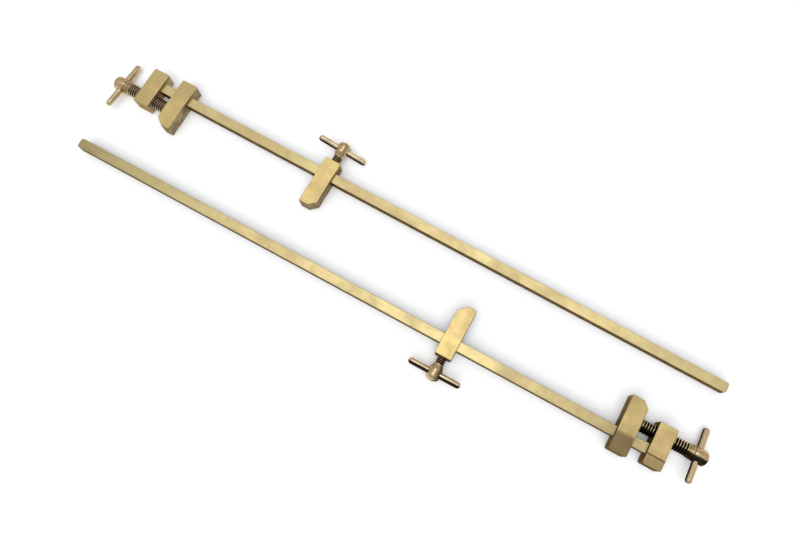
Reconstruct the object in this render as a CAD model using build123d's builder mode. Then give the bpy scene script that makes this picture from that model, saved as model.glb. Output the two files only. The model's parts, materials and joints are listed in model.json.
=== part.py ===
"""A matched pair of small brass bar clamps, lying side by side on a table.

Each clamp has a square bar with a fixed screw block at its head end, a moving
jaw that the main screw pushes along the bar, and a stop jaw that a lock screw
holds anywhere on the bar. The two clamps are alike. They lie head to tail with
their jaws pointing at each other, and clamp B is turned a little, as laid down.

Units are millimetres, +Z is up and the table is Z = 0. Every clamp is drawn on
its own seat plane: x runs along the bar from the outer face of the screw block
to the far end, the jaw tips point to -y, the other end of each jaw (its heel)
points to +y, and z is up.
"""

import os
from math import cos, radians, sin

from build123d import *

INCH = 25.4

# Bar
BAR_WIDTH = 5.0
BAR_LENGTH = 320.3
BAR_END_ROUND = 1.2
BAR_EDGE_ROUND = 0.3

# Blocks: the screw block is fixed to the bar and the two jaws slide on it
BLOCK_HEIGHT = 8.5
MID_HEIGHT = BLOCK_HEIGHT / 2
EDGE_ROUND = 0.3
HEEL_CORNER_ROUND = 0.8
SCREW_BLOCK_THICK = 8.7
SCREW_BLOCK_TIP = 13.4
SCREW_BLOCK_HEEL = 6.85
MOVING_JAW_THICK = 8.6
MOVING_JAW_TIP = 18.4
MOVING_JAW_HEEL = 8.3
STOP_JAW_START = 103.2
STOP_JAW_THICK = 8.5
STOP_JAW_MIDDLE = STOP_JAW_START + STOP_JAW_THICK / 2
STOP_JAW_TIP = 18.4
STOP_JAW_HEEL = 7.8
SLIDE_GAP = 0.06

# Main screw: a quarter inch across
SCREW_OFFSET = 8.3
SCREW_RADIUS = INCH / 8
THREAD_GAP = 0.08
SHOULDER_GAP = 0.05
SHANK_END = 23.4
SPIGOT_RADIUS = 2.1
SPIGOT_LENGTH = 5.6
SPIGOT_GAP = 0.08
GROOVE_RADIUS = 1.3
GROOVE_NEAR = 2.4
GROOVE_FAR = 3.8

# Lock screw: three sixteenths of an inch across
LOCK_RADIUS = 3 / 32 * INCH
LOCK_PAD_RADIUS = 2.2
LOCK_PAD_THICK = 1.1
LOCK_PAD_GAP = 0.05
LOCK_PAD_START = BAR_WIDTH / 2 + LOCK_PAD_GAP
LOCK_TIP = LOCK_PAD_START + LOCK_PAD_THICK + LOCK_PAD_GAP
LOCK_SHANK_END = 11.8
LOCK_TAPER_END = 13.9
LOCK_HEAD_RADIUS = 3.25
LOCK_HEAD_END = 19.75

# Turned heads, and the ring and collar between the main screw's thread and head
HEAD_RADIUS = 3.6
HEAD_LENGTH = 6.95
HEAD_DOME = 2.0
HEAD_BREAK = 0.3
RING_RADIUS = 3.35
RING_LENGTH = 0.75
COLLAR_RADIUS = 3.5
COLLAR_LENGTH = 1.2
UNDERCUT_RADIUS = 3.05
UNDERCUT_LENGTH = 0.25
SCREW_BREAK = 0.4

# Tommy bars and hidden pins
TOMMY_RADIUS = 1.55
MAIN_TOMMY_LENGTH = 27.5
LOCK_TOMMY_LENGTH = 27.0
MAIN_TOMMY_INSET = 4.75
LOCK_TOMMY_PLACE = 15.9
BLOCK_PIN_RADIUS = 0.8
BLOCK_PIN_TOP = 7.0
JAW_PIN_RADIUS = 0.6
JAW_PIN_TOP = 6.3

# How the pair lies
PAIR_SHIFT = 308.8
PAIR_SPACING = 41.6
PAIR_SPLAY = 0.76

COLLAR_START = SHANK_END + RING_LENGTH + UNDERCUT_LENGTH
MAIN_HEAD_START = COLLAR_START + COLLAR_LENGTH + UNDERCUT_LENGTH
MAIN_HEAD_END = MAIN_HEAD_START + HEAD_LENGTH
MAIN_TOMMY_PLACE = MAIN_HEAD_END - MAIN_TOMMY_INSET


class Clamp:
    """Where one clamp lies, how its screws are set and how its blocks are filed.

    jaw_start is where the moving jaw's back face stands along the bar. The
    tilts lift one end of each tommy bar, in degrees. facets gives, for each
    block, where a filed slope starts across the top and how far it falls. cuts
    gives, for each jaw, how far its cut corner reaches along and across.
    """

    def __init__(self, name, seat, jaw_start, main_tilt, lock_tilt, facets, cuts):
        self.name = name
        self.seat = seat
        self.jaw_start = jaw_start
        self.main_tilt = main_tilt
        self.lock_tilt = lock_tilt
        self.facets = facets
        self.cuts = cuts

    def at(self, x, y, z):
        """A point of the clamp, in the pair's frame."""
        return self.seat.from_local_coords((x, y, z))

    def level(self, height):
        """Horizontal sketch plane."""
        return self.seat.offset(height)

    def across(self, place):
        """Upright sketch plane square to the bar: its x is the seat's y."""
        return Plane(self.at(place, 0, 0), x_dir=self.seat.y_dir, z_dir=self.seat.x_dir)

    def facing_heels(self, place):
        """Upright sketch plane along the bar at y = place, facing the heels."""
        return Plane(self.at(0, place, 0), x_dir=-self.seat.x_dir, z_dir=self.seat.y_dir)

    def main_axis(self):
        """Main screw's axis, from the moving jaw's back face out to the head."""
        return Axis(self.at(self.jaw_start, -SCREW_OFFSET, MID_HEIGHT), -self.seat.x_dir)

    def lock_axis(self):
        """Lock screw's axis, from the middle of the bar out to the head."""
        return Axis(self.at(STOP_JAW_MIDDLE, 0, MID_HEIGHT), self.seat.y_dir)

    def main_tommy_axis(self):
        tilt = radians(self.main_tilt)
        lean = -self.seat.y_dir * cos(tilt) + self.seat.z_dir * sin(tilt)
        return Axis(self.main_axis().position - self.seat.x_dir * MAIN_TOMMY_PLACE, lean)

    def lock_tommy_axis(self):
        tilt = radians(self.lock_tilt)
        lean = -self.seat.x_dir * cos(tilt) + self.seat.z_dir * sin(tilt)
        return Axis(self.lock_axis().position + self.seat.y_dir * LOCK_TOMMY_PLACE, lean)


def seat_planes():
    """The two seats, placed so that the pair's box is centred over the origin."""
    turn = radians(PAIR_SPLAY)
    b_along = Vector(-cos(turn), -sin(turn), 0)
    b_heel = Vector(sin(turn), -cos(turn), 0)
    b_corner = Vector(PAIR_SHIFT, -PAIR_SPACING, 0)
    left = JAW_STARTS["clamp_a"] - MAIN_HEAD_END
    right_point = b_corner + b_along * (JAW_STARTS["clamp_b"] - MAIN_HEAD_END)
    right_point += b_heel * -SCREW_OFFSET
    front_point = b_corner + b_along * STOP_JAW_MIDDLE + b_heel * LOCK_HEAD_END
    centre = Vector((left + right_point.X) / 2, (front_point.Y + LOCK_HEAD_END) / 2, 0)
    return {
        "clamp_a": Plane(-centre, x_dir=(1, 0, 0), z_dir=(0, 0, 1)),
        "clamp_b": Plane(b_corner - centre, x_dir=b_along, z_dir=(0, 0, 1)),
    }


# ---------------------------------------------------------------- outlines


def square(plane, y, size):
    """A square centred at the bar's height."""
    with BuildSketch(plane) as outline:
        with Locations((y, MID_HEIGHT)):
            Rectangle(size, size)
    return outline.sketch


def disc(plane, place, radius):
    with BuildSketch(plane) as outline:
        with Locations(place):
            Circle(radius)
    return outline.sketch


def disc_on(axis, radius):
    with BuildSketch(Plane(axis.position, z_dir=axis.direction)) as outline:
        Circle(radius)
    return outline.sketch


def half_turned(clamp, axis, stations, end, radius):
    """Half outline of a screw: straight runs through the stations, then a dome."""
    plane = Plane(axis.position, x_dir=axis.direction, z_dir=clamp.seat.z_dir)
    with BuildSketch(plane) as outline:
        with BuildLine():
            Polyline(*stations, (end - HEAD_DOME, radius))
            EllipticalCenterArc((end - HEAD_DOME, 0), HEAD_DOME, radius, arc_size=90)
            Line((end, 0), stations[0])
        make_face()
    return outline.sketch


def half_rod(axis, side, length):
    """Half outline of a tommy bar with hemispherical ends, centred on its axis."""
    straight = length / 2 - TOMMY_RADIUS
    with BuildSketch(Plane(axis.position, x_dir=axis.direction, z_dir=side)) as outline:
        with BuildLine():
            CenterArc((-straight, 0), TOMMY_RADIUS, 90, 90)
            Line((-straight, TOMMY_RADIUS), (straight, TOMMY_RADIUS))
            CenterArc((straight, 0), TOMMY_RADIUS, 0, 90)
            Line((-length / 2, 0), (length / 2, 0))
        make_face()
    return outline.sketch


def block_end(clamp, start, tip, heel, facet):
    """Upright end view of a block, its top filed down towards the heel."""
    facet_start, fall = facet
    with BuildSketch(clamp.across(start)) as outline:
        with BuildLine():
            Polyline(
                (-tip, 0),
                (heel, 0),
                (heel, BLOCK_HEIGHT - fall),
                (facet_start, BLOCK_HEIGHT),
                (-tip, BLOCK_HEIGHT),
                close=True,
            )
        make_face()
    return outline.sketch


def tip_corner(clamp, corner_x, tip, cut, side):
    """Plan triangle cut off the back of a jaw's tip. side is the way to the body."""
    with BuildSketch(clamp.level(0)) as outline:
        with BuildLine():
            Polyline(
                (corner_x, -tip),
                (corner_x + side * cut[0], -tip),
                (corner_x, -tip + cut[1]),
                close=True,
            )
        make_face()
    return outline.sketch


def round_edges(piece, clamp, place, heel, facet):
    """Rounds a block's edges, most at the heel's corners, but keeps the crease sharp."""
    end = clamp.at(place, heel, MID_HEIGHT)
    fillet(piece.edges().filter_by(Axis.Z).sort_by_distance(end)[:2], HEEL_CORNER_ROUND)
    crease = piece.edges().sort_by_distance(clamp.at(place, facet[0], BLOCK_HEIGHT))[:1]
    corner = [e for e in piece.edges().filter_by(Axis.Z) if e.distance_to(end) < MID_HEIGHT + 3]
    fillet(piece.edges() - crease - corner, EDGE_ROUND)


# ------------------------------------------------------------------ pieces


def bar(clamp):
    """Square bar, rounded in plan at its free end, drilled for the block pin."""
    with BuildPart() as piece:
        extrude(square(clamp.across(0), 0, BAR_WIDTH), amount=BAR_LENGTH)
        far = clamp.at(BAR_LENGTH, 0, MID_HEIGHT)
        fillet(piece.edges().filter_by(Axis.Z).sort_by_distance(far)[:2], BAR_END_ROUND)
        root = piece.faces().sort_by_distance(clamp.at(0, 0, MID_HEIGHT))[0]
        fillet(piece.edges() - root.edges(), BAR_EDGE_ROUND)
        pin = disc(clamp.level(0), (SCREW_BLOCK_THICK / 2, 0), BLOCK_PIN_RADIUS)
        extrude(pin, amount=BLOCK_PIN_TOP, mode=Mode.SUBTRACT)
    return piece


def screw_block(clamp):
    """Fixed block that carries the main screw, on the head end of the bar."""
    facet = clamp.facets["screw_block"]
    middle = SCREW_BLOCK_THICK / 2
    with BuildPart() as piece:
        extrude(
            block_end(clamp, 0, SCREW_BLOCK_TIP, SCREW_BLOCK_HEEL, facet),
            amount=SCREW_BLOCK_THICK,
        )
        round_edges(piece, clamp, middle, SCREW_BLOCK_HEEL, facet)
        extrude(square(clamp.across(0), 0, BAR_WIDTH), amount=SCREW_BLOCK_THICK, mode=Mode.SUBTRACT)
        bore = disc(clamp.across(0), (-SCREW_OFFSET, MID_HEIGHT), SCREW_RADIUS + THREAD_GAP)
        extrude(bore, amount=SCREW_BLOCK_THICK, mode=Mode.SUBTRACT)
        pin = disc(clamp.level(0), (middle, 0), BLOCK_PIN_RADIUS)
        extrude(pin, amount=BLOCK_PIN_TOP, mode=Mode.SUBTRACT)
    return piece


def block_pin(clamp):
    """Pin driven up through the screw block and the bar from below."""
    with BuildPart() as piece:
        pin = disc(clamp.level(0), (SCREW_BLOCK_THICK / 2, 0), BLOCK_PIN_RADIUS)
        extrude(pin, amount=BLOCK_PIN_TOP)
    return piece


def jaw_pin_place(clamp):
    """Where the pin stands beside the screw's spigot, in its groove."""
    along = clamp.jaw_start + (GROOVE_NEAR + GROOVE_FAR) / 2
    return (along, -SCREW_OFFSET + GROOVE_RADIUS + JAW_PIN_RADIUS + SPIGOT_GAP)


def moving_jaw(clamp):
    """Jaw that slides on the bar, turned by the screw whose spigot it holds."""
    facet = clamp.facets["moving_jaw"]
    start = clamp.jaw_start
    with BuildPart() as piece:
        extrude(
            block_end(clamp, start, MOVING_JAW_TIP, MOVING_JAW_HEEL, facet),
            amount=MOVING_JAW_THICK,
        )
        corner = tip_corner(clamp, start, MOVING_JAW_TIP, clamp.cuts["moving_jaw"], 1)
        extrude(corner, amount=BLOCK_HEIGHT, mode=Mode.SUBTRACT)
        round_edges(piece, clamp, start + MOVING_JAW_THICK / 2, MOVING_JAW_HEEL, facet)
        slot = square(clamp.across(start), 0, BAR_WIDTH + 2 * SLIDE_GAP)
        extrude(slot, amount=MOVING_JAW_THICK, mode=Mode.SUBTRACT)
        seat = disc(clamp.across(start), (-SCREW_OFFSET, MID_HEIGHT), SPIGOT_RADIUS + SPIGOT_GAP)
        extrude(seat, amount=SPIGOT_LENGTH + SPIGOT_GAP, mode=Mode.SUBTRACT)
        pin = disc(clamp.level(0), jaw_pin_place(clamp), JAW_PIN_RADIUS)
        extrude(pin, amount=JAW_PIN_TOP, mode=Mode.SUBTRACT)
    return piece


def jaw_pin(clamp):
    """Pin driven up into the moving jaw, which keeps the screw's spigot in."""
    with BuildPart() as piece:
        extrude(disc(clamp.level(0), jaw_pin_place(clamp), JAW_PIN_RADIUS), amount=JAW_PIN_TOP)
    return piece


def main_screw(clamp):
    """Main screw: grooved spigot, threaded shank, ring, collar and domed barrel head."""
    axis = clamp.main_axis()
    stations = (
        (-SPIGOT_LENGTH, 0),
        (-SPIGOT_LENGTH, SPIGOT_RADIUS),
        (-GROOVE_FAR, SPIGOT_RADIUS),
        (-GROOVE_FAR, GROOVE_RADIUS),
        (-GROOVE_NEAR, GROOVE_RADIUS),
        (-GROOVE_NEAR, SPIGOT_RADIUS),
        (SHOULDER_GAP, SPIGOT_RADIUS),
        (SHOULDER_GAP, SCREW_RADIUS - SCREW_BREAK),
        (SHOULDER_GAP + SCREW_BREAK, SCREW_RADIUS),
        (SHANK_END, SCREW_RADIUS),
        (SHANK_END, RING_RADIUS),
        (SHANK_END + RING_LENGTH, RING_RADIUS),
        (SHANK_END + RING_LENGTH, UNDERCUT_RADIUS),
        (COLLAR_START, UNDERCUT_RADIUS),
        (COLLAR_START, COLLAR_RADIUS),
        (COLLAR_START + COLLAR_LENGTH, COLLAR_RADIUS),
        (COLLAR_START + COLLAR_LENGTH, UNDERCUT_RADIUS),
        (MAIN_HEAD_START, UNDERCUT_RADIUS),
        (MAIN_HEAD_START, HEAD_RADIUS - HEAD_BREAK),
        (MAIN_HEAD_START + HEAD_BREAK, HEAD_RADIUS),
    )
    with BuildPart() as piece:
        revolve(half_turned(clamp, axis, stations, MAIN_HEAD_END, HEAD_RADIUS), axis=axis)
        hole = disc_on(clamp.main_tommy_axis(), TOMMY_RADIUS)
        extrude(hole, amount=2 * HEAD_RADIUS, both=True, mode=Mode.SUBTRACT)
    return piece


def main_tommy_bar(clamp):
    """Rod pressed through the main screw's head."""
    axis = clamp.main_tommy_axis()
    with BuildPart() as piece:
        revolve(half_rod(axis, clamp.seat.x_dir, MAIN_TOMMY_LENGTH), axis=axis)
    return piece


def stop_jaw(clamp):
    """Jaw that stands anywhere on the bar, with a tapped hole in its heel."""
    facet = clamp.facets["stop_jaw"]
    end = STOP_JAW_START + STOP_JAW_THICK
    with BuildPart() as piece:
        extrude(
            block_end(clamp, STOP_JAW_START, STOP_JAW_TIP, STOP_JAW_HEEL, facet),
            amount=STOP_JAW_THICK,
        )
        corner = tip_corner(clamp, end, STOP_JAW_TIP, clamp.cuts["stop_jaw"], -1)
        extrude(corner, amount=BLOCK_HEIGHT, mode=Mode.SUBTRACT)
        round_edges(piece, clamp, STOP_JAW_MIDDLE, STOP_JAW_HEEL, facet)
        slot = square(clamp.across(STOP_JAW_START), 0, BAR_WIDTH + 2 * SLIDE_GAP)
        extrude(slot, amount=STOP_JAW_THICK, mode=Mode.SUBTRACT)
        bore = disc_on(clamp.lock_axis(), LOCK_RADIUS + THREAD_GAP)
        extrude(bore, amount=STOP_JAW_HEEL, mode=Mode.SUBTRACT)
    return piece


def lock_pad(clamp):
    """Slug between the lock screw's tip and the side of the bar."""
    with BuildPart() as piece:
        plane = clamp.facing_heels(LOCK_PAD_START)
        extrude(disc(plane, (-STOP_JAW_MIDDLE, MID_HEIGHT), LOCK_PAD_RADIUS), amount=LOCK_PAD_THICK)
    return piece


def lock_screw(clamp):
    """Lock screw: threaded shank, tapered neck and domed barrel head."""
    axis = clamp.lock_axis()
    stations = (
        (LOCK_TIP, 0),
        (LOCK_TIP, LOCK_RADIUS - SCREW_BREAK),
        (LOCK_TIP + SCREW_BREAK, LOCK_RADIUS),
        (LOCK_SHANK_END, LOCK_RADIUS),
        (LOCK_TAPER_END, LOCK_HEAD_RADIUS),
    )
    with BuildPart() as piece:
        revolve(half_turned(clamp, axis, stations, LOCK_HEAD_END, LOCK_HEAD_RADIUS), axis=axis)
        hole = disc_on(clamp.lock_tommy_axis(), TOMMY_RADIUS)
        extrude(hole, amount=2 * HEAD_RADIUS, both=True, mode=Mode.SUBTRACT)
    return piece


def lock_tommy_bar(clamp):
    """Rod pressed through the lock screw's head."""
    axis = clamp.lock_tommy_axis()
    with BuildPart() as piece:
        revolve(half_rod(axis, clamp.seat.y_dir, LOCK_TOMMY_LENGTH), axis=axis)
    return piece


# -------------------------------------------------------------------- pair

PIECES = {
    "bar": bar,
    "screw_block": screw_block,
    "block_pin": block_pin,
    "main_screw": main_screw,
    "main_tommy_bar": main_tommy_bar,
    "moving_jaw": moving_jaw,
    "jaw_pin": jaw_pin,
    "stop_jaw": stop_jaw,
    "lock_pad": lock_pad,
    "lock_screw": lock_screw,
    "lock_tommy_bar": lock_tommy_bar,
}

JAW_STARTS = {"clamp_a": 16.5, "clamp_b": 15.6}
SEATS = seat_planes()
CLAMPS = (
    Clamp(
        name="clamp_a",
        seat=SEATS["clamp_a"],
        jaw_start=JAW_STARTS["clamp_a"],
        main_tilt=6.5,
        lock_tilt=10.0,
        facets={
            "screw_block": (-1.0, 0.12),
            "moving_jaw": (-1.6, 0.2),
            "stop_jaw": (1.0, 0.06),
        },
        cuts={"moving_jaw": (4.2, 3.4), "stop_jaw": (3.5, 3.1)},
    ),
    Clamp(
        name="clamp_b",
        seat=SEATS["clamp_b"],
        jaw_start=JAW_STARTS["clamp_b"],
        main_tilt=-10.0,
        lock_tilt=3.0,
        facets={
            "screw_block": (3.2, 0.3),
            "moving_jaw": (-1.2, 0.4),
            "stop_jaw": (2.0, 0.06),
        },
        cuts={"moving_jaw": (3.0, 3.0), "stop_jaw": (3.9, 3.8)},
    ),
)

os.makedirs("parts", exist_ok=True)
for one_clamp in CLAMPS:
    for piece_name, make_piece in PIECES.items():
        finished = make_piece(one_clamp)
        node = f"{one_clamp.name}_{piece_name}"
        finished.part.label = node
        export_step(finished.part, f"parts/{node}.step")
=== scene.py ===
"""Looks for the pair of small brass bar clamps: brass, cut threads, table, light and camera.

Everything is in metres in the frame's own axes: X roughly along the bars, Z up, the table at
Z = 0. The bars, blocks, pins and pads keep their CAD shapes and get brass materials. The four
screws and the four tommy bars are made again here, with real helical threads and finer turning.
"""

from collections import namedtuple
import json
import math

import bmesh
import bpy
import numpy as np
from mathutils import Matrix, Vector


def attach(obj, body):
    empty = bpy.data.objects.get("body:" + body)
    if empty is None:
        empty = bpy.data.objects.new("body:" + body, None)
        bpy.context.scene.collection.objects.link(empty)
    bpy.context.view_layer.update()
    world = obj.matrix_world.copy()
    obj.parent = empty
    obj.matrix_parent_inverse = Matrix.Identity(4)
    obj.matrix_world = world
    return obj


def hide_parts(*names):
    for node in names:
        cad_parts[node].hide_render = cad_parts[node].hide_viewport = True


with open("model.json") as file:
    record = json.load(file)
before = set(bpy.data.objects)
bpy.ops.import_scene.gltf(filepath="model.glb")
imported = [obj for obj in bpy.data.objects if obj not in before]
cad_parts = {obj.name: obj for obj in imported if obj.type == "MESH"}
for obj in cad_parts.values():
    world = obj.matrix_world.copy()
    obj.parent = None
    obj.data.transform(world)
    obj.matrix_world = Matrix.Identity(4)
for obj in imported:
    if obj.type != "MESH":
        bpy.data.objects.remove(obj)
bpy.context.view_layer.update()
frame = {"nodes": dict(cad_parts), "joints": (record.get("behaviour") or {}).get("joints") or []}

MM = 0.001
TURN = 2 * math.pi
CLAMPS = ("clamp_a", "clamp_b")
JOINTS = {joint["name"]: joint for joint in frame["joints"]}

# How finely the turned pieces are made
ROUND_SEGMENTS = 72
ROWS_PER_TURN = 12
DOME_STEPS = 9
ROD_ROWS = 9
SHARP_ANGLE = math.radians(38)

# A thread's depth is a share of its pitch. Its flat root and its flank are shares of the way
# from the middle of the root to the middle of the crest, and it dies out over a share of a turn.
THREAD_DEPTH = 0.62
ROOT_SHARE = 0.12
FLANK_SHARE = 0.68
THREAD_RUNOUT = 0.8

# Sizes of the turned pieces, in millimetres. A shank's end is where its thread's dull finish
# stops, and the lock screw's tip is counted from the middle of the bar.
MAIN_RADIUS = 3.175
MAIN_PITCH = 1.27
MAIN_SHANK_END = 23.3
HEAD_RADIUS = 3.6
LOCK_RADIUS = 2.381
LOCK_PITCH = 1.058
LOCK_SHANK_END = 11.7
LOCK_HEAD_RADIUS = 3.25
LOCK_TIP = 3.7
ROD_RADIUS = 1.55
HOLE_CLEARANCE = 0.015
HOLE_REACH = 8
SCREW_OFFSET = 8.3

# Camera, in metres, with its roll and its lens on a 36 mm sensor
CAMERA_PLACE = Vector((0.05819, -0.06982, 0.33266))
CAMERA_TARGET = Vector((0.00715, -0.00012, 0.0))
CAMERA_ROLL = math.radians(-6.717)
CAMERA_LENS = 31.72
SENSOR_WIDTH = 36
CLIP_START = 0.01

# The room's light: places are slopes from straight up, and levels are radiance. In a pair,
# the lamp or the dark side is gone at the first place and full at the second. HORIZON is the
# height below which slopes aren't told apart.
LAMP_MIDDLE = -0.19
LAMP_SLANT = 0.92
LAMP_HALF_WIDTH = 0.8
LAMP_FRONT = (-0.12, 0.12)
LAMP_BACK = (0.7, 0.1)
LAMP_RIGHT = (0.55, 0.0)
LAMP_LEVEL = 1.7
WALL_LEVEL = 0.55
DARK_SIDE_LEAN = 0.7
DARK_SIDE_EDGE = (0.6, 0.9)
DARK_SIDE_TOP = (0.45, 0.2)
DARK_LEVEL = 0.3
BACKDROP_LEVEL = 1.0
HORIZON = 0.05
ROOM_TINT = (0.97, 0.985, 1.0, 1)

# The table, and the light that falls on it alone
TABLE_HALF = 3.0
TABLE_TONES = ((0.83, 0.83, 0.83, 1), (0.85, 0.85, 0.85, 1))
TABLE_GLOW = 0.08
WASH_LEVEL = 2.09
WASH_WIDTH = math.radians(70)
WASH_FROM = (0.1, -0.45, 0.9)

# Tones shared by all the brass, as colours with alpha
# Bright tone of the edges: wear, with a painted highlight
WORN_EDGE_HIGHLIGHT = (0.95, 0.80, 0.48, 1)
GRAZING_TINT = (0.45, 0.33, 0.2, 1)
# Near-black painted shade for one side of a turned piece
PAINTED_SHADE_TONE = (0.045, 0.03, 0.02, 1)
# Tones of the filed heel facets and of the ridge between them: painted shade
SHADED_HEEL_TAN = (0.62, 0.42, 0.21, 1)
HEEL_SHADE = (0.40, 0.28, 0.14, 1)
SHADED_HEEL_BROWN = (0.22, 0.15, 0.07, 1)
RIDGE_SHADE = (0.12, 0.07, 0.03, 1)

# Dark brass for the bars' sides and the pins, dark on the sides partly from patina and partly from
# painted shade; then rubbed metal, its patina and its bloom
DARK_BRASS = (0.17, 0.135, 0.085)
BAR_TONES = ((0.82, 0.67, 0.32), (0.72, 0.57, 0.28), (0.78, 0.57, 0.30))
BLOCK_TONES = ((0.78, 0.60, 0.24), (0.66, 0.50, 0.22), (0.72, 0.50, 0.25))

# Polished metal, its patina, and a screw's crests and grooves, the grooves near black with painted
# shade
GROOVE_SHADE = (0.012, 0.009, 0.007)
MAIN_SCREW_TONES = {
    # Clamp A's crests are darker than clamp B's: painted shade
    "clamp_a": ((0.76, 0.57, 0.32), (0.55, 0.40, 0.22), (0.68, 0.51, 0.32), GROOVE_SHADE),
    "clamp_b": ((0.76, 0.57, 0.32), (0.55, 0.40, 0.22), (0.80, 0.62, 0.40), GROOVE_SHADE),
}
LOCK_SCREW_TONES = ((0.70, 0.53, 0.30), (0.48, 0.35, 0.19), (0.34, 0.23, 0.14), GROOVE_SHADE)
MAIN_ROD_TONES = ((0.82, 0.64, 0.37), (0.62, 0.46, 0.26))
LOCK_ROD_TONES = ((0.92, 0.76, 0.48), (0.70, 0.54, 0.33))

# Lines and scratches in a metre, each way: few along the grain and many across it
BAR_GRAIN = (14, 2600, 2600)
BLOCK_GRAIN = (1800, 30, 1800)

# Plain roughness of each kind of piece
BAR_ROUGHNESS = 0.28
BLOCK_ROUGHNESS = 0.25
PIN_ROUGHNESS = 0.35
SCREW_ROUGHNESS = 0.2
ROD_ROUGHNESS = 0.22

# How deep the marks on the brass are, in metres
WAVE_DEPTH = 0.0001
LINE_DEPTH = 0.00002
SCRATCH_DEPTH = 0.00001
SPECK_DEPTH = 0.000004
RING_DEPTH = 0.00001

# What the edges' rounded normals are compared with, as cosines, and how wide they wear and carry a
# painted highlight, in mm
FLAT_COSINE = 0.995
EDGE_COSINE = 0.90
BLOCK_EDGE = 0.4
TURNED_EDGE = 0.25

# Noise seeds: each piece has its own pattern
BLOCK_SEED = 10.0
PIN_SEED = 31.0
TURNED_SEED = 41.0

# How light each piece's top is made, and the tone of its sides, dark with patina and painted shade
FINISHES = {
    "clamp_a_bar": (0.96, DARK_BRASS),
    "clamp_a_screw_block": (1.02, (0.48, 0.40, 0.22)),
    "clamp_a_moving_jaw": (1.04, (0.34, 0.27, 0.17)),
    "clamp_a_stop_jaw": (1.06, (0.34, 0.28, 0.20)),
    "clamp_b_bar": (0.95, DARK_BRASS),
    "clamp_b_screw_block": (0.95, (0.17, 0.135, 0.095)),
    "clamp_b_moving_jaw": (0.80, (0.22, 0.18, 0.125)),
    "clamp_b_stop_jaw": (0.95, (0.15, 0.12, 0.085)),
}

# Painted shade of the filed facets across a block, as stripes: from and to, in mm from the middle
# of the bar towards the heel, how soft their edges are, in mm, their tone and how strong it is
BANDS = {
    "clamp_a_moving_jaw": ((1.4, 20, 0.5, SHADED_HEEL_TAN, 0.3),),
    "clamp_b_screw_block": (
        (-0.6, 20, 0.6, SHADED_HEEL_TAN, 0.75),
        (2.4, 20, 0.3, HEEL_SHADE, 0.6),
        (1.6, 2.5, 0.25, RIDGE_SHADE, 0.95),
    ),
    "clamp_b_moving_jaw": ((-1.0, 20, 1.4, SHADED_HEEL_BROWN, 0.93),),
}

# Painted shade towards a bar's ends, standing in for the light falling off along it: from and to,
# in mm along it from the main screw's shoulder towards the free end, and how bright it stays
SHADED_BAR_ENDS = {"clamp_b_bar": ((75, 25, 0.78), (170, 320, 0.74))}

# Painted shade over one side of a turned piece, standing in for the dark room it reflects: its
# own Y side, and the shares of the radius between which it starts
PAINTED_DARK_SIDES = {
    "clamp_a_lock_rod": (-1, 0.55, 0.8),
    "clamp_b_lock_rod": (-1, 0.0, 0.25),
    "clamp_b_lock_screw": (1, 0.15, 1.0),
    "clamp_b_main_rod": (-1, 0.5, 0.8),
    "clamp_b_main_screw": (-1, 0.05, 0.35),
}


# ---------------------------------------------------------------- node helpers


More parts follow.
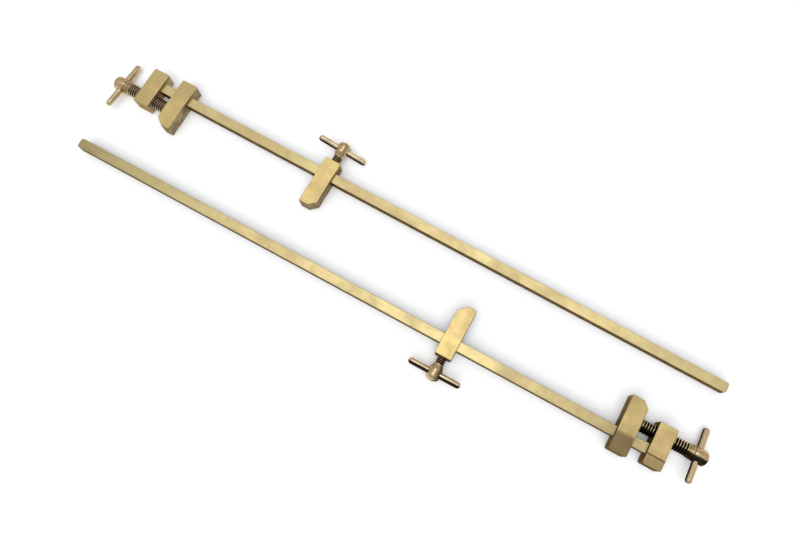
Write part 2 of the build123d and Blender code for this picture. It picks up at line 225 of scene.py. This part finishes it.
class Graph:
    """Short calls for building a material's or the world's nodes."""

    def __init__(self, name=None, tree=None):
        if tree is None:
            self.material = bpy.data.materials.new(name)
            self.material.use_nodes = True
            tree = self.material.node_tree
            self.shader = tree.nodes["Principled BSDF"]
        self.nodes = tree.nodes
        self.links = tree.links

    def put(self, value, socket):
        """Sets a socket to a number or colour, or links it to another socket."""
        if isinstance(value, bpy.types.NodeSocket):
            self.links.new(value, socket)
        else:
            socket.default_value = value

    def node(self, kind, **settings):
        made = self.nodes.new(kind)
        for key, value in settings.items():
            setattr(made, key, value)
        return made

    def math(self, operation, *values):
        made = self.node("ShaderNodeMath", operation=operation)
        for socket, value in zip(made.inputs, values):
            self.put(value, socket)
        return made.outputs[0]

    def add(self, first, second):
        return self.math("ADD", first, second)

    def less(self, first, second):
        return self.math("SUBTRACT", first, second)

    def times(self, first, second):
        return self.math("MULTIPLY", first, second)

    def over(self, first, second):
        return self.math("DIVIDE", first, second)

    def vector_math(self, operation, *values):
        made = self.node("ShaderNodeVectorMath", operation=operation)
        for socket, value in zip(made.inputs, values):
            self.put(value, socket)
        return made.outputs["Value"]

    def place(self, kind="Object"):
        return self.node("ShaderNodeTexCoord").outputs[kind]

    def parts(self, vector):
        """The X, Y and Z of a vector."""
        made = self.node("ShaderNodeSeparateXYZ")
        self.put(vector, made.inputs[0])
        return tuple(made.outputs)

    def ramp(self, value, low, high, to_low=0.0, to_high=1.0):
        """Smooth step from to_low at low to to_high at high."""
        made = self.node("ShaderNodeMapRange", interpolation_type="SMOOTHSTEP")
        for socket, number in zip(made.inputs, (value, low, high, to_low, to_high)):
            self.put(number, socket)
        return made.outputs[0]

    def mix(self, factor, first, second, blend="MIX"):
        made = self.node("ShaderNodeMix", data_type="RGBA", blend_type=blend)
        self.put(factor, made.inputs["Factor"])
        self.put(first, made.inputs[6])
        self.put(second, made.inputs[7])
        return made.outputs[2]

    def noise(self, where, scale, detail=3.0, roughness=0.55, stretch=(1, 1, 1), seed=0.0):
        """Noise over coordinates stretched by a vector; scale is features per metre."""
        mapping = self.node("ShaderNodeMapping")
        self.put(where, mapping.inputs["Vector"])
        mapping.inputs["Scale"].default_value = stretch
        mapping.inputs["Location"].default_value = (seed, seed * 0.7, seed * 1.3)
        made = self.node("ShaderNodeTexNoise")
        self.put(mapping.outputs[0], made.inputs["Vector"])
        made.inputs["Scale"].default_value = scale
        made.inputs["Detail"].default_value = detail
        made.inputs["Roughness"].default_value = roughness
        return made.outputs["Fac"]

    def bump(self, height, depth, normal=None):
        made = self.node("ShaderNodeBump")
        made.inputs["Distance"].default_value = depth
        self.put(height, made.inputs["Height"])
        if normal is not None:
            self.put(normal, made.inputs["Normal"])
        return made.outputs[0]

    def worn_and_highlit_edges(self, radius):
        """1 along edges, which are worn bright and given a painted highlight, 0 on flat faces."""
        bevel = self.node("ShaderNodeBevel", samples=6)
        bevel.inputs["Radius"].default_value = radius
        flat = self.node("ShaderNodeNewGeometry").outputs["Normal"]
        match = self.vector_math("DOT_PRODUCT", bevel.outputs[0], flat)
        return self.ramp(match, FLAT_COSINE, EDGE_COSINE)

    def metal(self, tone, roughness, normal):
        """Ends a brass material. Values that are the same all over are set on the shader."""
        self.put(tone, self.shader.inputs["Base Color"])
        self.put(roughness, self.shader.inputs["Roughness"])
        self.put(normal, self.shader.inputs["Normal"])
        self.shader.inputs["Metallic"].default_value = 1.0
        self.shader.inputs["Specular Tint"].default_value = GRAZING_TINT
        return self.material


# ------------------------------------------------------------------- materials


# A clamp's own directions, and where along them its bar's middle and its main screw's
# shoulder lie, in metres
Axes = namedtuple("Axes", "heelward middle along start")


def paint_facet_shade(graph, tone, place, bands):
    """Lays the painted shade of filed facets over a tone, as stripes. place is how far a point is
    towards the heel.
    """
    for start, end, softness, band_tone, share in bands:
        low = graph.ramp(place, (start - softness) * MM, (start + softness) * MM)
        high = graph.ramp(place, (end + softness) * MM, (end - softness) * MM)
        tone = graph.mix(graph.times(graph.times(low, high), share), tone, band_tone)
    return tone


def shade_towards_ends(graph, tone, run, shaded_ends):
    """Darkens a bar's tone towards its ends with painted shade. run is how far along the bar a
    point is.
    """
    for shade_start, shade_full, remains in shaded_ends:
        kept = graph.ramp(run, shade_start * MM, shade_full * MM, 1.0, remains)
        tone = graph.mix(1.0, tone, kept, "MULTIPLY")
    return tone


def brass(name, seed, tones, grain, roughness, axes, bands=(), shaded_ends=()):
    """Old brass: flat tops rubbed bright, sides dark with patina and painted shade, edges worn
    bright with a painted highlight, fine lines along the grain.

    tones are the rubbed metal, its patina, the pinkish bloom on it and the dark sides, patina with
    painted shade.
    """
    bright, dull, bloom, side = tones
    graph = Graph(name)
    where = graph.place()
    clouds = graph.noise(where, 60, 4, 0.6, seed=seed)
    blotches = graph.noise(where, 210, 5, 0.65, seed=seed + 3)
    warm = graph.noise(where, 95, 3, 0.5, seed=seed + 7)
    lines = graph.noise(where, 1.0, 4, 0.7, stretch=grain, seed=seed)
    finer_grain = tuple(3 * part for part in grain)
    scratches = graph.noise(where, 1.0, 2, 0.5, stretch=finer_grain, seed=seed + 11)
    specks = graph.noise(where, 1500, 2, 0.5, seed=seed)

    # The rubbed top, with its patina and bloom
    patina = graph.ramp(graph.add(clouds, graph.times(blotches, 0.45)), 0.58, 0.9)
    tone = graph.mix(patina, bright, dull)
    tone = graph.mix(graph.ramp(warm, 0.5, 0.72, 0.0, 0.6), tone, bloom)

    # Painted shade of the filed facets, with ragged edges, and painted shade towards a bar's ends
    heelward = graph.vector_math("DOT_PRODUCT", where, axes.heelward)
    ragged = graph.times(graph.less(blotches, 0.5), 1.6 * MM)
    tone = paint_facet_shade(graph, tone, graph.add(graph.less(heelward, axes.middle), ragged), bands)
    run = graph.less(graph.vector_math("DOT_PRODUCT", where, axes.along), axes.start)
    tone = shade_towards_ends(graph, tone, run, shaded_ends)

    # Lines, scratches and specks
    tone = graph.mix(graph.ramp(lines, 0.3, 0.8, 0.0, 0.3), tone, dull)
    scratched = graph.ramp(scratches, 0.60, 0.72, 0.0, 0.35)
    tone = graph.mix(scratched, tone, side)
    tone = graph.mix(graph.ramp(specks, 0.66, 0.78, 0.0, 0.5), tone, side)

    # Sides, which nothing rubs, dark with patina and painted shade; edges, which everything rubs,
    # worn bright with a painted highlight
    up = graph.parts(graph.place("Normal"))[2]
    unrubbed_shaded_sides = graph.ramp(up, 0.6, 0.2)
    stained_shaded_side = graph.mix(1.0, side, graph.ramp(blotches, 0.35, 0.65, 1.3, 0.75), "MULTIPLY")
    stained_shaded_side = graph.mix(graph.ramp(lines, 0.5, 0.85, 0.0, 0.25), stained_shaded_side, bloom)
    tone = graph.mix(unrubbed_shaded_sides, tone, stained_shaded_side)
    # Edges worn bright, with a painted highlight
    tone = graph.mix(graph.times(graph.worn_and_highlit_edges(BLOCK_EDGE * MM), 0.7), tone, WORN_EDGE_HIGHLIGHT)

    rough = graph.add(roughness, graph.times(patina, 0.10))
    rough = graph.add(rough, graph.times(lines, 0.08))
    rough = graph.add(rough, graph.times(unrubbed_shaded_sides, 0.12))
    normal = graph.bump(clouds, WAVE_DEPTH)
    normal = graph.bump(lines, LINE_DEPTH, normal)
    normal = graph.bump(scratched, SCRATCH_DEPTH, normal)
    return graph.metal(tone, rough, graph.bump(specks, SPECK_DEPTH, normal))


def turned_brass(name, seed, tones, roughness, thread=None, painted_dark_side=None):
    """Turned brass. X is the axis of the piece.

    tones are the polished metal and its patina, and for a screw its thread's crests and
    grooves too, the grooves near black with painted shade. thread is a screw's radius and its
    shank's end, in millimetres. The last argument is a row of the table of painted dark sides,
    which lays painted shade over one side of the piece.
    """
    bright, dull = tones[:2]
    graph = Graph(name)
    where = graph.place()
    x, y, z = graph.parts(where)
    across = graph.node("ShaderNodeCombineXYZ")
    graph.put(y, across.inputs["Y"])
    graph.put(z, across.inputs["Z"])
    distance = graph.vector_math("LENGTH", across.outputs[0])

    clouds = graph.noise(where, 170, 4, 0.6, seed=seed)
    rings = graph.noise(where, 1.0, 3, 0.6, stretch=(6000, 60, 60), seed=seed)
    patina = graph.ramp(clouds, 0.38, 0.68)
    tone = graph.mix(patina, bright, dull)
    tone = graph.mix(graph.ramp(rings, 0.4, 0.8, 0.0, 0.3), tone, dull)
    # Edges lightened: wear, with a painted highlight
    tone = graph.mix(graph.times(graph.worn_and_highlit_edges(TURNED_EDGE * MM), 0.3), tone, bright)

    if thread:
        radius, shank_end = thread
        crest, groove = tones[2:]
        # Thread roots near black: painted shade in the grooves
        cut = graph.ramp(distance, (radius - 0.03) * MM, (radius - 0.3) * MM)
        worn = graph.mix(graph.ramp(clouds, 0.4, 0.7, 0.0, 0.6), crest, bright)
        on_shank = graph.ramp(x, shank_end * MM, (shank_end - 1.2) * MM)
        tone = graph.mix(on_shank, tone, graph.mix(cut, worn, groove))
        by_head = graph.ramp(x, shank_end * MM, (shank_end - 0.4) * MM)
        tone = graph.mix(graph.times(cut, by_head), tone, groove)

    # One side darkened with painted shade, standing in for a dark reflection
    if painted_dark_side:
        side, low, high = painted_dark_side
        uneven = graph.times(graph.less(clouds, 0.5), 0.3)
        sideways = graph.add(graph.times(graph.over(y, distance), side), uneven)
        tone = graph.mix(graph.ramp(sideways, low, high), tone, PAINTED_SHADE_TONE)

    rough = graph.add(roughness, graph.times(patina, 0.08))
    return graph.metal(tone, rough, graph.bump(rings, RING_DEPTH))


def table_material():
    """White table that glows a little, so that its shadows stay faint."""
    graph = Graph("white_table")
    tooth = graph.noise(graph.place(), 900, 2)
    tone = graph.mix(graph.ramp(tooth, 0.3, 0.7), *TABLE_TONES)
    graph.put(tone, graph.shader.inputs["Base Color"])
    graph.shader.inputs["Roughness"].default_value = 0.9
    graph.shader.inputs["Specular IOR Level"].default_value = 0.1
    graph.shader.inputs["Emission Color"].default_value = (1, 1, 1, 1)
    graph.shader.inputs["Emission Strength"].default_value = TABLE_GLOW
    return graph.material


# ---------------------------------------------------------------- turned pieces


def axis_matrix(origin, along):
    """Places a piece whose own X axis is its turning axis."""
    turn = Vector((1, 0, 0)).rotation_difference(Vector(along).normalized())
    return Matrix.Translation(Vector(origin)) @ turn.to_matrix().to_4x4()


def ring_mesh(name, rings):
    """Closed skin over rings given as (station, radius or list of radii), in millimetres."""
    angles = np.arange(ROUND_SEGMENTS) / ROUND_SEGMENTS * TURN
    mesh = bmesh.new()
    rows = []
    for station, radii in rings[1:-1]:
        radii = np.broadcast_to(radii, angles.shape)
        rows.append([
            mesh.verts.new((station * MM, r * math.cos(a) * MM, r * math.sin(a) * MM))
            for r, a in zip(radii, angles)
        ])
    first = mesh.verts.new((rings[0][0] * MM, 0, 0))
    last = mesh.verts.new((rings[-1][0] * MM, 0, 0))
    for i in range(ROUND_SEGMENTS):
        j = (i + 1) % ROUND_SEGMENTS
        mesh.faces.new((first, rows[0][j], rows[0][i]))
        mesh.faces.new((last, rows[-1][i], rows[-1][j]))
        for near, far in zip(rows, rows[1:]):
            mesh.faces.new((near[i], near[j], far[j], far[i]))
    bmesh.ops.recalc_face_normals(mesh, faces=mesh.faces)
    data = bpy.data.meshes.new(name)
    mesh.to_mesh(data)
    mesh.free()
    data.polygons.foreach_set("use_smooth", [True] * len(data.polygons))
    data.set_sharp_from_angle(angle=SHARP_ANGLE)
    return data


def thread_rings(start, end, radius, pitch):
    """Rings of a thread, its form rounded at crest and root.

    The thread comes out left-handed, though the joints turn as right-handed screws do.
    """
    angles = np.arange(ROUND_SEGMENTS) / ROUND_SEGMENTS
    count = int((end - start) / pitch * ROWS_PER_TURN)
    rings = []
    for row in range(1, count):
        station = start + (end - start) * row / count
        phase = (station / pitch + angles) % 1.0
        slope = np.abs(phase - 0.5) * 2
        form = np.clip((slope - ROOT_SHARE) / FLANK_SHARE, 0, 1)
        form = form * form * (3 - 2 * form)
        fade = min(1.0, (station - start) / pitch, (end - station) / (THREAD_RUNOUT * pitch))
        rings.append((station, radius - THREAD_DEPTH * pitch * (1 - form) * fade))
    return rings


def dome_rings(shoulder, end, radius):
    """Rings of a rounded end, without the shoulder and the pole."""
    rings = []
    for step in range(1, DOME_STEPS):
        angle = step / DOME_STEPS * TURN / 4
        along = shoulder + (end - shoulder) * math.sin(angle)
        rings.append((along, radius * math.cos(angle)))
    return rings


def soft_corner(station, radius, before, after, size):
    """Three rings that round a corner between two directions of the outline."""
    near = (station - before[0] * size, radius - before[1] * size)
    far = (station + after[0] * size, radius + after[1] * size)
    middle = ((near[0] + far[0] + 2 * station) / 4, (near[1] + far[1] + 2 * radius) / 4)
    return [near, middle, far]


def main_screw_rings():
    """Rings of the main screw: spigot with its pin groove, thread, two collars and head.

    Stations count outwards from the shoulder that pushes the jaw.
    """
    along, out, inward = (1, 0), (0, 1), (0, -1)
    spigot, pin_groove, shoulder = 2.1, 1.3, 2.75
    ring, ring_neck, collar, collar_neck = 3.35, 3.07, 3.5, 3.12
    rings = [(-5.6, 0)]
    rings += soft_corner(-5.6, spigot, out, along, 0.25)
    rings += [(-3.8, spigot), (-3.78, pin_groove), (-2.42, pin_groove), (-2.4, spigot)]
    rings += [(0.05, spigot), (0.06, shoulder)]
    rings += thread_rings(0.06, 23.2, MAIN_RADIUS, MAIN_PITCH)
    rings += [(23.25, 3.0)]
    rings += soft_corner(23.4, ring, out, along, 0.12)
    rings += soft_corner(24.15, ring, along, inward, 0.12)
    rings += [(24.17, ring_neck), (24.38, ring_neck)]
    rings += soft_corner(24.4, collar, out, along, 0.14)
    rings += soft_corner(25.6, collar, along, inward, 0.14)
    rings += [(25.62, collar_neck), (25.83, collar_neck)]
    rings += soft_corner(25.85, HEAD_RADIUS, out, along, 0.3)
    rings += [(27.5, HEAD_RADIUS), (29.2, HEAD_RADIUS), (30.8, HEAD_RADIUS)]
    rings += dome_rings(30.8, 32.8, HEAD_RADIUS)
    return rings + [(32.8, 0)]


def lock_screw_rings():
    """Rings of the lock screw: thread, flared neck and head.

    Stations count outwards from the middle of the bar.
    """
    tip, thread_end, dome_start, end = LOCK_TIP, 11.6, 17.75, 19.75
    rings = [(tip, 0), (tip, 1.6), (tip + 0.02, 1.75)]
    rings += thread_rings(tip + 0.03, thread_end, LOCK_RADIUS, LOCK_PITCH)
    rings += [(11.65, LOCK_RADIUS), (11.85, LOCK_RADIUS)]
    rings += [(12.05, 2.46), (12.9, 2.83), (13.65, 3.14), (13.95, 3.22)]
    rings += [(station, LOCK_HEAD_RADIUS) for station in (14.3, 15.3, 16.5, dome_start)]
    rings += dome_rings(dome_start, end, LOCK_HEAD_RADIUS)
    return rings + [(end, 0)]


def rod_rings(length, radius):
    """Rings of a round rod with domed ends, its middle at station 0."""
    half = length / 2
    dome = dome_rings(half - radius, half, radius)
    rings = [(-half, 0)]
    rings += [(-station, r) for station, r in reversed(dome)]
    rings += [(station, radius) for station in np.linspace(radius - half, half - radius, ROD_ROWS)]
    return rings + dome + [(half, 0)]


def long_axis(node):
    """Centre and direction of a slim CAD node, and its length, from its own vertices."""
    points = np.array([vertex.co for vertex in frame["nodes"][node].data.vertices])
    low, high = points.min(0), points.max(0)
    centre = (low + high) / 2
    direction = np.linalg.svd(points - centre, full_matrices=False)[2][0]
    reach = (points - centre) @ direction
    return Vector(centre), Vector(direction), float(reach.max() - reach.min())


def add_object(name, data, matrix, material):
    made = bpy.data.objects.new(name, data)
    bpy.context.scene.collection.objects.link(made)
    made.matrix_world = matrix
    data.materials.clear()
    data.materials.append(material)
    return made


def stand_for(piece, node, body):
    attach(piece, body)
    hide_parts(node)


def drill(piece, centre, direction, radius):
    """Cuts the cross hole for a tommy bar through a screw's head."""
    reach = HOLE_REACH
    cutter_mesh = ring_mesh("cutter", [(-reach, 0), (-reach, radius), (reach, radius), (reach, 0)])
    cutter = bpy.data.objects.new("cutter", cutter_mesh)
    bpy.context.scene.collection.objects.link(cutter)
    cutter.matrix_world = axis_matrix(centre, direction)
    cut = piece.modifiers.new("cross_hole", "BOOLEAN")
    cut.operation = "DIFFERENCE"
    cut.solver = "EXACT"
    cut.object = cutter
    bpy.context.view_layer.update()
    evaluated = piece.evaluated_get(bpy.context.evaluated_depsgraph_get())
    drilled = bpy.data.meshes.new_from_object(evaluated)
    piece.modifiers.clear()
    piece.data = drilled
    bpy.data.objects.remove(cutter)


def add_tommy_bar(clamp, which, material):
    """Makes a tommy bar, and returns the centre and direction of the hole it needs."""
    node = f"{clamp}_{which}_tommy_bar"
    centre, direction, length = long_axis(node)
    data = ring_mesh(f"{node}_mesh", rod_rings(length / MM, ROD_RADIUS))
    piece = add_object(f"{node}_rod", data, axis_matrix(centre, direction), material)
    stand_for(piece, node, f"{clamp}_{which}_screw")
    return centre, direction


def add_screw(clamp, which, rings, origin, out, finishes):
    """Makes a screw with its tommy bar. out points from its tip to its head."""
    node = f"{clamp}_{which}_screw"
    centre, direction = add_tommy_bar(clamp, which, finishes[f"{which}_rod"])
    data = ring_mesh(f"{node}_mesh", rings)
    material = finishes[f"{which}_screw"]
    piece = add_object(f"{node}_turned", data, axis_matrix(origin, out), material)
    drill(piece, centre, direction, ROD_RADIUS + HOLE_CLEARANCE)
    stand_for(piece, node, node)


def add_turned_pieces(clamp, finishes):
    """The clamp's two screws and their tommy bars, placed by the hinges they turn on."""
    main = JOINTS[f"{clamp}_main_screw_turn"]
    add_screw(clamp, "main", main_screw_rings(), main["pos_m"], -Vector(main["axis"]), finishes)
    lock = JOINTS[f"{clamp}_lock_screw_turn"]
    out = Vector(lock["axis"])
    origin = Vector(lock["pos_m"]) - out * LOCK_TIP * MM
    add_screw(clamp, "lock", lock_screw_rings(), origin, out, finishes)


# -------------------------------------------------------------------- finishes


def rubbed(tones, factor=1.0):
    """The tones made lighter or darker, as colours with alpha."""
    return [tuple(min(part * factor, 1.0) for part in tone) + (1,) for tone in tones]


def clamp_axes(clamp):
    along = Vector(JOINTS[f"{clamp}_jaw_slide"]["axis"])
    heelward = Vector((-along.y, along.x, 0))
    screw_place = Vector(JOINTS[f"{clamp}_main_screw_turn"]["pos_m"])
    middle = screw_place.dot(heelward) + SCREW_OFFSET * MM
    return Axes(heelward, middle, along, screw_place.dot(along))


def dress(node, material):
    """Gives a CAD node its brass."""
    slots = frame["nodes"][node].data.materials
    slots.clear()
    slots.append(material)


def dress_cad_pieces(clamp, number):
    """Gives the clamp's bar, blocks, pins and pad their brass."""
    axes = clamp_axes(clamp)
    for place, piece in enumerate(("bar", "screw_block", "moving_jaw", "stop_jaw")):
        node = f"{clamp}_{piece}"
        top_level, side = FINISHES[node]
        look = (BLOCK_TONES, BLOCK_GRAIN, BLOCK_ROUGHNESS)
        if piece == "bar":
            look = (BAR_TONES, BAR_GRAIN, BAR_ROUGHNESS)
        tones, grain, roughness = look
        tones = rubbed(tones, top_level) + rubbed([side])
        marks = (BANDS.get(node, ()), SHADED_BAR_ENDS.get(node, ()))
        seed = BLOCK_SEED + 6 * number + place
        dress(node, brass(f"{node}_brass", seed, tones, grain, roughness, axes, *marks))
    tones = rubbed([DARK_BRASS] * 4)
    seed = PIN_SEED + number
    plain = brass(f"{clamp}_pin_brass", seed, tones, BLOCK_GRAIN, PIN_ROUGHNESS, axes)
    for hidden in ("block_pin", "jaw_pin", "lock_pad"):
        dress(f"{clamp}_{hidden}", plain)


def turned_finishes(clamp, number):
    """Materials of the clamp's screws and tommy bars, by name."""
    looks = {
        "main_screw": (MAIN_SCREW_TONES[clamp], SCREW_ROUGHNESS, (MAIN_RADIUS, MAIN_SHANK_END)),
        "lock_screw": (LOCK_SCREW_TONES, SCREW_ROUGHNESS, (LOCK_RADIUS, LOCK_SHANK_END)),
        "main_rod": (MAIN_ROD_TONES, ROD_ROUGHNESS, None),
        "lock_rod": (LOCK_ROD_TONES, ROD_ROUGHNESS, None),
    }
    finishes = {}
    for place, (name, (tones, roughness, thread)) in enumerate(looks.items()):
        seed = TURNED_SEED + 10 * place + number
        full_name = f"{clamp}_{name}"
        finishes[name] = turned_brass(
            f"{full_name}_brass", seed, rubbed(tones), roughness, thread, PAINTED_DARK_SIDES.get(full_name),
        )
    return finishes


# ------------------------------------------------------------------------ scene


def add_table():
    half = TABLE_HALF
    data = bpy.data.meshes.new("table_mesh")
    corners = [(-half, -half, 0), (half, -half, 0), (half, half, 0), (-half, half, 0)]
    data.from_pydata(corners, [], [(0, 1, 2, 3)])
    table = add_object("table", data, Matrix.Identity(4), table_material())
    return table


def add_table_wash(table):
    """Wide soft light that falls on the table alone, so the brass keeps its reflections."""
    data = bpy.data.lights.new("table_wash", "SUN")
    data.angle = WASH_WIDTH
    data.energy = WASH_LEVEL
    light = bpy.data.objects.new("table_wash", data)
    bpy.context.scene.collection.objects.link(light)
    light.rotation_euler = Vector(WASH_FROM).to_track_quat("Z", "Y").to_euler()
    receivers = bpy.data.collections.new("washed_table")
    receivers.objects.link(table)
    light.light_linking.receiver_collection = receivers


def add_world():
    """A pale room: a wide lamp over and behind the clamps, and one side a little darker.

    The camera itself sees only a plain bright backdrop past the table's edge.
    """
    world = bpy.data.worlds.new("room")
    bpy.context.scene.world = world
    world.use_nodes = True
    graph = Graph(tree=world.node_tree)
    x, y, z = graph.parts(graph.place("Generated"))
    above = graph.math("MAXIMUM", z, HORIZON)
    right = graph.over(x, above)
    back = graph.over(y, above)
    lamp_middle = graph.add(graph.times(back, LAMP_SLANT), LAMP_MIDDLE)
    lamp = graph.ramp(graph.math("ABSOLUTE", graph.less(right, lamp_middle)), LAMP_HALF_WIDTH, 0.0)
    for slope, edge in ((back, LAMP_FRONT), (back, LAMP_BACK), (right, LAMP_RIGHT)):
        lamp = graph.times(lamp, graph.ramp(slope, *edge))
    dark_side = graph.ramp(graph.less(graph.times(x, DARK_SIDE_LEAN), y), *DARK_SIDE_EDGE)
    dark = graph.times(dark_side, graph.ramp(z, *DARK_SIDE_TOP))
    wall = graph.ramp(dark, 0.0, 1.0, WALL_LEVEL, DARK_LEVEL)
    level = graph.add(graph.times(lamp, LAMP_LEVEL), wall)
    seen = graph.node("ShaderNodeLightPath").outputs["Is Camera Ray"]
    level = graph.ramp(seen, 0.0, 1.0, level, BACKDROP_LEVEL)
    background = graph.nodes["Background"]
    background.inputs["Color"].default_value = ROOM_TINT
    graph.put(level, background.inputs["Strength"])


def add_camera():
    data = bpy.data.cameras.new("camera")
    data.lens = CAMERA_LENS
    data.sensor_width = SENSOR_WIDTH
    data.clip_start = CLIP_START
    camera = bpy.data.objects.new("camera", data)
    bpy.context.scene.collection.objects.link(camera)
    aim = (CAMERA_TARGET - CAMERA_PLACE).to_track_quat("-Z", "Y")
    roll = Matrix.Rotation(CAMERA_ROLL, 4, "Z")
    camera.matrix_world = Matrix.Translation(CAMERA_PLACE) @ aim.to_matrix().to_4x4() @ roll
    bpy.context.scene.camera = camera


add_camera()
add_world()
add_table_wash(add_table())
bpy.context.scene.view_settings.view_transform = "Standard"
for number, clamp in enumerate(CLAMPS):
    dress_cad_pieces(clamp, number)
    add_turned_pieces(clamp, turned_finishes(clamp, number))
